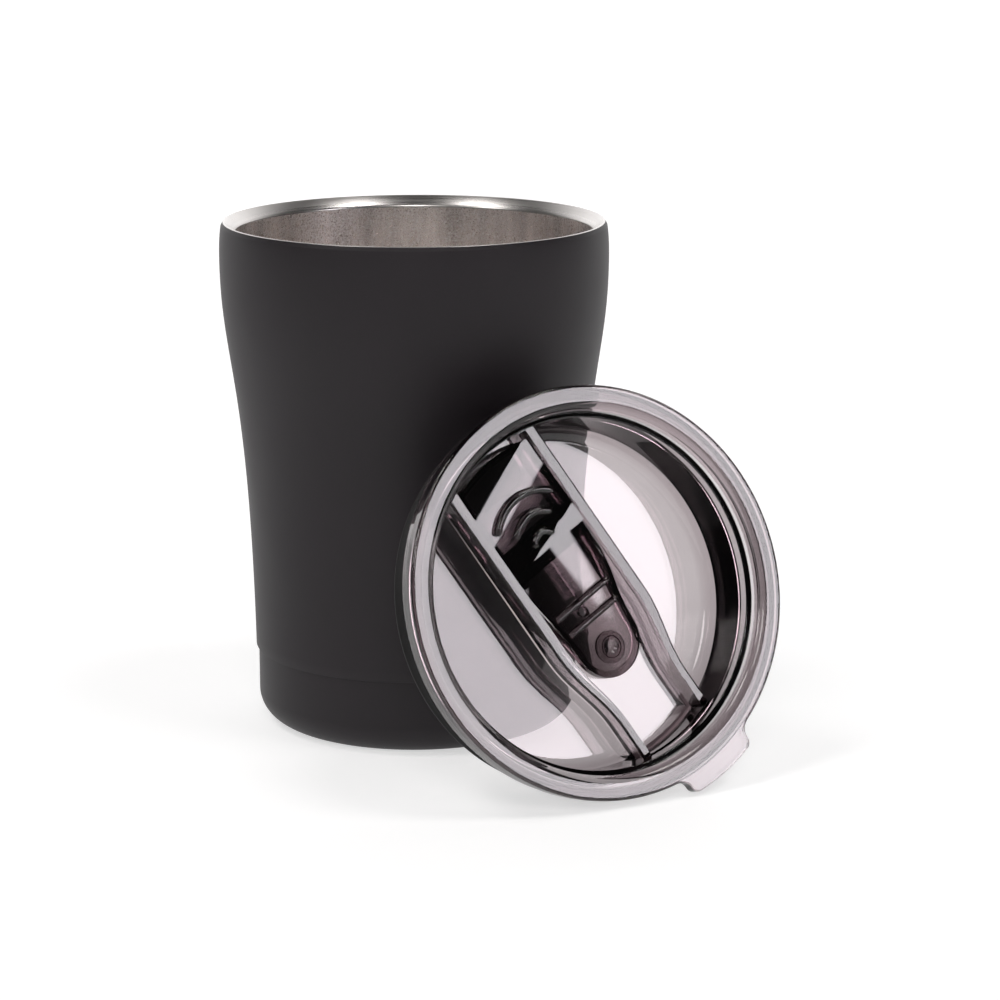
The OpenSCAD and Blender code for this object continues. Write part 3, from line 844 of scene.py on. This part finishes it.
def slider_top(k):
    """Cutter above the top: from the thumb pad a slight fall, a flat bar at the step, and the tongue."""
    x, z = step_place(k), -k.depth
    fall = [(x - 9, z), (x - 1.35, z - 7.65 * FALL), (x - 1.2, z - 7.4 * FALL)]
    bar = [(x - 1.0, z - 0.03), (x - 0.9, z - 0.01), (x + 0.2, z - 0.01), (x + 0.35, z - 0.05)]
    down = [(x + 0.8, tongue_z(k, x) + 0.12), (x + 1.1, tongue_z(k, x + 1.1)), (FAR, tongue_z(k, FAR))]
    return plate_side(fall + bar + down + [(FAR, 1), (x - 9, 1)], FAR)


def thumb_hollow(k):
    """Cutter for the thumb hollow: a large drum that lies across the pad, turned a little."""
    radius, half_len, depth, turn = 60, 30, 1.3, math.radians(20)
    bm = spun([(0, -half_len), (radius, -half_len), (radius, half_len), (0, half_len)], 512, closed=False)
    lay = Matrix.Rotation(turn, 4, "Z") @ Matrix.Rotation(math.pi / 2, 4, "X")
    middle = ((step_place(k) - 16.3) * MM, 0, (radius - depth - k.depth) * MM)
    bm.transform(Matrix.Translation(middle) @ lay)
    return bm


def tongue_valley(k):
    """Cutter for the tongue's shallow valley: a large drum along it, to one side of its middle."""
    radius, reach, depth, aside = 80, 45, 0.8, 3.5
    start = step_place(k) + 1.2
    bm = spun([(0, 0), (radius, 0), (radius, reach), (0, reach)], 640, closed=False)
    lay = Matrix.Rotation(FALL_ANGLE, 4, "Y") @ Matrix.Rotation(math.pi / 2, 4, "Y")
    place = (start * MM, aside * MM, (tongue_z(k, start) + radius - depth) * MM)
    bm.transform(Matrix.Translation(place) @ lay)
    return bm


def boss(k):
    """Round boss under the dimple."""
    x, low, radius = dimple_place(k), k.depth + k.height, 3.6
    roof = tongue_z(k, x) - k.wall + 0.3
    return post([(0, -low), (radius, -low), (radius, roof), (0, roof)], x, 64)


def dimple(k):
    """Cutter for the dimple, with its dished floor and rounded brow."""
    x, low = dimple_place(k), k.depth + k.height
    top = tongue_z(k, x)
    dished = [(0, -low + 0.9), (0.8, -low + 1.05), (1.6, -low + 1.5), (2.3, -low + 2.1), (2.3, top - 1.3)]
    brow = arc((4.2, top - 1.6), 1.9, 175, 95, 8) + [(5.1, top + 0.25)]
    return post(dished + brow + [(5.1, 0), (0, 0)], x, 64)


def web(k):
    """Thin web under the tongue, from the step to the boss."""
    end, low = dimple_place(k), k.depth + k.height
    return block((step_place(k) - 0.1, -0.3, -low + 0.8), (end - 3, 0.3, tongue_z(k, end) - k.wall + 0.1))


def grips(k):
    """Three concentric arcs on the thumb pad and two straight bars on the tongue."""
    middle = (k.tip_x - k.taper - 5.9, 0, -k.depth - 0.65)
    bar_max = k.width - 2 * k.wall - 2 * k.gap
    bars = [capsule(2 * radius * math.radians(half_angle), 0.9, 0.75, radius, middle)
            for radius, half_angle in ((11.5, 43), (7, 43), (2.6, 65))]
    for x, size in ((k.tip_x - 10.9, min(16.6, bar_max)), (k.tip_x - 6.4, min(15, bar_max))):
        bars.append(capsule(size - 1.6, 0.8, 0.75, None, (x, 0, tongue_z(k, x) - 0.35)))
    return bars


# -------------------------------- studio sky


# Soft boxes of the studio: direction, half angle and soft edge in degrees, brightness, colour
SOFT_BOXES = (
    ((0.798, -0.525, 0.294), 5.2, 1.0, 9.5, (1.0, 0.95, 1.0)),
    ((0.409, -0.213, 0.883), 9.0, 2.0, 7.0, (1.0, 0.98, 0.97)),
    ((-0.464, -0.172, 0.866), 9.0, 2.0, 7.0, (1.0, 0.98, 0.97)),
    ((0.0, -0.8, 0.6), 8.0, 3.0, 7.0, (1.0, 0.98, 0.97)),
    ((-0.7, -0.5, 0.52), 7.0, 3.0, 7.0, (1.0, 0.98, 0.97)),
)


def studio_sky():
    """A bright wall behind the object, a dark room behind the camera, and soft boxes far off."""
    world = bpy.data.worlds.new("Studio sky")
    world.use_nodes = True
    nodes, links = world.node_tree.nodes, world.node_tree.links
    background = nodes["Background"]
    direction = nodes.new("ShaderNodeTexCoord").outputs["Generated"]
    split = nodes.new("ShaderNodeSeparateXYZ")
    links.new(direction, split.inputs[0])

    def ramp(value, start, end, low, high):
        node = nodes.new("ShaderNodeMapRange")
        node.interpolation_type = "SMOOTHSTEP"
        for key, number in (("From Min", start), ("From Max", end), ("To Min", low), ("To Max", high)):
            node.inputs[key].default_value = number
        links.new(value, node.inputs["Value"])
        return node.outputs["Result"]

    def vector_math(operation, a, b):
        node = nodes.new("ShaderNodeVectorMath")
        node.operation = operation
        for socket, value in zip(node.inputs, (a, b)):
            if isinstance(value, (tuple, Vector)):
                socket.default_value = value
            else:
                links.new(value, socket)
        return node.outputs["Value" if operation == "DOT_PRODUCT" else "Vector"]

    def tinted(colour, amount):
        node = nodes.new("ShaderNodeVectorMath")
        node.operation = "SCALE"
        node.inputs[0].default_value = colour
        links.new(amount, node.inputs["Scale"])
        return node.outputs["Vector"]

    wall = tinted((1.0, 0.99, 0.993), ramp(split.outputs["Y"], 0.2, 0.85, 0.04, 1.6))
    dim_above = tinted((1, 1, 1), ramp(split.outputs["Z"], 0.45, 0.9, 1, 0.3))
    light = vector_math("MULTIPLY", wall, dim_above)
    for towards, half_angle, edge, brightness, colour in SOFT_BOXES:
        dot = vector_math("DOT_PRODUCT", direction, Vector(towards).normalized())
        outer, inner = math.cos(math.radians(half_angle + edge)), math.cos(math.radians(half_angle))
        light = vector_math("ADD", light, tinted(colour, ramp(dot, outer, inner, 0, brightness)))
    links.new(light, background.inputs["Color"])
    return world


# -------------------------------- operators


class MUG_OT_cup(bpy.types.Operator):
    """Coated shell and base of the cup"""

    bl_idname = "mug.cup"
    bl_label = "Cup"

    def execute(self, context):
        sizes = Measures(context.scene.cup_sizes)
        coat = powder_coat(context.scene.mug_colours.coat)
        facets = context.scene.studio_sizes.facets
        for node, name, section in (("outer_shell", "shell_coat", shell_section(sizes)),
                                    ("base_cup", "base_coat", base_section(sizes))):
            piece = finish_mesh(spun(section, facets), name, [coat])
            placed(piece, "cup", "powder_coat", node)
        return {"FINISHED"}


class MUG_OT_inside(bpy.types.Operator):
    """Blasted liner, its floor and the polished rim"""

    bl_idname = "mug.inside"
    bl_label = "Inside"

    def execute(self, context):
        c = Measures(context.scene.cup_sizes)
        facets = context.scene.studio_sizes.facets
        colours = context.scene.mug_colours
        blasted = blasted_steel(colours.blasted)
        polished = polished_steel(colours.polished)

        line, lip = liner_line(c), lip_bevel(c)
        outside = [(r + c.liner, z) for r, z in line[::3] + line[-1:]]
        bm = spun(line + lip + [(lip[-1][0], c.height - c.liner * 1.3)] + outside[::-1], facets)
        for face in bm.faces:
            face.material_index = int(face.calc_center_median().z > (c.height - c.bevel_h - 0.4) * MM)
        piece = finish_mesh(bm, "liner_wall", [blasted, polished], smooth_angle=30)
        placed(piece, "cup", "blasted_steel", "inner_liner")

        r = line[0][0]
        corner = (r - c.corner_r, c.floor_z + c.corner_r)
        dish = ([(0, c.floor_z)] + arc(corner, c.corner_r, -90, 0, 18)
                + arc(corner, c.corner_r + c.liner, 0, -90, 18) + [(0, c.floor_z - c.liner)])
        piece = finish_mesh(spun(dish, facets, closed=False), "liner_dish", [blasted])
        placed(piece, "cup", "blasted_steel", "liner_floor")

        lip_r, foot_z = c.rim_r - c.rim_edge, c.height - RING_H
        outer = radius_at(body_line(c), foot_z)
        ring = [(lip_r, foot_z), (outer, foot_z), (c.rim_r + 0.02, c.height - 0.3),
                (c.rim_r - 0.06, c.height - 0.1), (c.rim_r - 0.2, c.height), (lip_r, c.height)]
        bm = spun(ring, facets)
        for face in bm.faces:
            middle = face.calc_center_median()
            outside = middle.xy.length > (c.rim_r - 0.05) * MM and face.normal.dot(middle) > 0
            face.material_index = int(outside and middle.z < (c.height - 0.15) * MM)
        piece = finish_mesh(bm, "rim_ring", [polished, powder_coat(colours.coat)], smooth_angle=50)
        placed(piece, "cup", "polished_steel", "rim_weld")
        return {"FINISHED"}


class MUG_OT_vacuum_parts(bpy.types.Operator):
    """Finishes of the parts inside the vacuum space and under the base"""

    bl_idname = "mug.vacuum_parts"
    bl_label = "Vacuum parts"

    def execute(self, context):
        steel = plain_steel((0.62, 0.6, 0.57))
        paint("vacuum_plate", steel)
        paint("getter_clip", steel)
        paint("seal_plug", sealing_glass((0.05, 0.09, 0.075)))
        paint("bottom_cap", turned_steel((0.5, 0.48, 0.46)))
        paint("getter", getter_alloy((0.12, 0.12, 0.13)))
        paint("copper_foil", copper_foil((0.72, 0.3, 0.16)))
        return {"FINISHED"}


class MUG_OT_lid(bpy.types.Operator):
    """Clear smoke lid with its bridge and pull tab"""

    bl_idname = "mug.lid"
    bl_label = "Lid"

    def execute(self, context):
        d, k = Measures(context.scene.lid_sizes), Measures(context.scene.slider_sizes)
        steps = [("UNION", bridge(d, k)), ("UNION", plate(tab_outline(d), d.tab_t, 0, edge=0.6))]
        steps += [("DIFFERENCE", cutter) for cutter in bridge_cutters(d, k)]
        bm = combined(spun(lid_section(d), 144, closed=False), steps)
        smoke = smoke_plastic("Clear smoke", context.scene.mug_colours.smoke, CLEAR_DENSITY)
        piece = finish_mesh(bm, "lid_moulding", [smoke], LID, smooth_angle=32)
        weigh_normals(piece)
        placed(piece, "lid", "smoke_clear", "lid_body")
        return {"FINISHED"}


class MUG_OT_seal(bpy.types.Operator):
    """Silicone gasket with two rounded fins"""

    bl_idname = "mug.seal"
    bl_label = "Gasket"

    def execute(self, context):
        d = Measures(context.scene.lid_sizes)
        seat, sleeve = d.plug_r - d.groove + 0.03, d.plug_r + 0.35
        top, low = d.flange_h + 1.23, d.depth - 1.83
        pitch = (low - top) / 2
        section = [(seat, -top), (sleeve, -top)]
        for z in (top + pitch * 0.72, top + pitch * 1.7):
            section += [(sleeve, -z + 1.5), (d.fin_r - 0.55, -z + 0.62)]
            section += arc((d.fin_r - 0.32, -z + 0.1), 0.32, 70, -70, 6)
            section += [(sleeve, -z - 0.9)]
        section += [(sleeve, -low), (seat, -low)]
        piece = finish_mesh(spun(section, 144), "lid_seal",
                            [silicone(context.scene.mug_colours.silicone)], LID)
        placed(piece, "lid", "black_silicone", "lid_gasket")
        return {"FINISHED"}


class MUG_OT_slider(bpy.types.Operator):
    """Dark smoke slider with its thumb hollow, grips and dimple"""

    bl_idname = "mug.slider"
    bl_label = "Slider"

    def execute(self, context):
        d, k = Measures(context.scene.lid_sizes), Measures(context.scene.slider_sizes)
        steps = [("DIFFERENCE", cutter) for cutter in
                 (pad_hollow(d, k), tongue_hollow(k), slider_top(k), thumb_hollow(k), tongue_valley(k))]
        steps += [("UNION", boss(k)), ("DIFFERENCE", dimple(k)), ("UNION", web(k))]
        steps += [("UNION", grip) for grip in grips(k)]
        bm = combined(slider_blank(d, k), steps)
        smoke = smoke_plastic("Dark smoke", context.scene.mug_colours.smoke, DARK_DENSITY)
        piece = finish_mesh(bm, "slider_tongue", [smoke], LID, smooth_angle=32)
        weigh_normals(piece)
        placed(piece, "slider", "smoke_dark", "slider")
        return {"FINISHED"}


class MUG_OT_studio(bpy.types.Operator):
    """Pale floor, bright sky and camera"""

    bl_idname = "mug.studio"
    bl_label = "Studio"

    def execute(self, context):
        sizes, colours = context.scene.studio_sizes, context.scene.mug_colours
        bm = bmesh.new()
        bmesh.ops.create_circle(bm, cap_ends=True, radius=sizes.floor_radius, segments=128)
        bmesh.ops.recalc_face_normals(bm, faces=bm.faces)
        floor = finish_mesh(bm, "floor", [floor_finish(colours.floor)])

        scene = context.scene
        scene.world = studio_sky()

        lens = bpy.data.cameras.new("Camera")
        lens.lens, lens.sensor_width = sizes.lens, 36
        camera = bpy.data.objects.new("Camera", lens)
        scene.collection.objects.link(camera)
        camera.location = (0, -sizes.camera_distance, sizes.camera_height)
        camera.rotation_euler = (math.pi / 2 - sizes.camera_pitch, 0, -sizes.camera_turn)
        scene.camera = camera
        scene.view_settings.view_transform = "Standard"
        return {"FINISHED"}


class MUG_PT_panel(bpy.types.Panel):
    """Sizes, colours and steps of the travel mug"""

    bl_idname = "MUG_PT_panel"
    bl_label = "Travel Mug"
    bl_space_type = "VIEW_3D"
    bl_region_type = "UI"
    bl_category = "Travel Mug"

    def draw(self, context):
        for name in GROUPS:
            group = getattr(context.scene, name)
            box = self.layout.box()
            for key in group.__annotations__:
                box.prop(group, key)
        for operator in OPERATORS:
            self.layout.operator(operator.bl_idname)


OPERATORS = (MUG_OT_cup, MUG_OT_inside, MUG_OT_vacuum_parts, MUG_OT_lid, MUG_OT_seal, MUG_OT_slider,
             MUG_OT_studio)
GROUPS = {"cup_sizes": CupSizes, "lid_sizes": LidSizes, "slider_sizes": SliderSizes,
          "studio_sizes": StudioSizes, "mug_colours": MugColours}
CLASSES = (*GROUPS.values(), *OPERATORS, MUG_PT_panel)


def register():
    for item in CLASSES:
        bpy.utils.register_class(item)
    for name, group in GROUPS.items():
        setattr(bpy.types.Scene, name, PointerProperty(type=group))


def unregister():
    for name in GROUPS:
        delattr(bpy.types.Scene, name)
    for item in reversed(CLASSES):
        bpy.utils.unregister_class(item)


def main():
    register()
    bpy.ops.mug.cup()
    bpy.ops.mug.inside()
    bpy.ops.mug.vacuum_parts()
    bpy.ops.mug.lid()
    bpy.ops.mug.seal()
    bpy.ops.mug.slider()
    bpy.ops.mug.studio()
    bpy.context.view_layer.update()


if __name__ == "__main__":
    main()
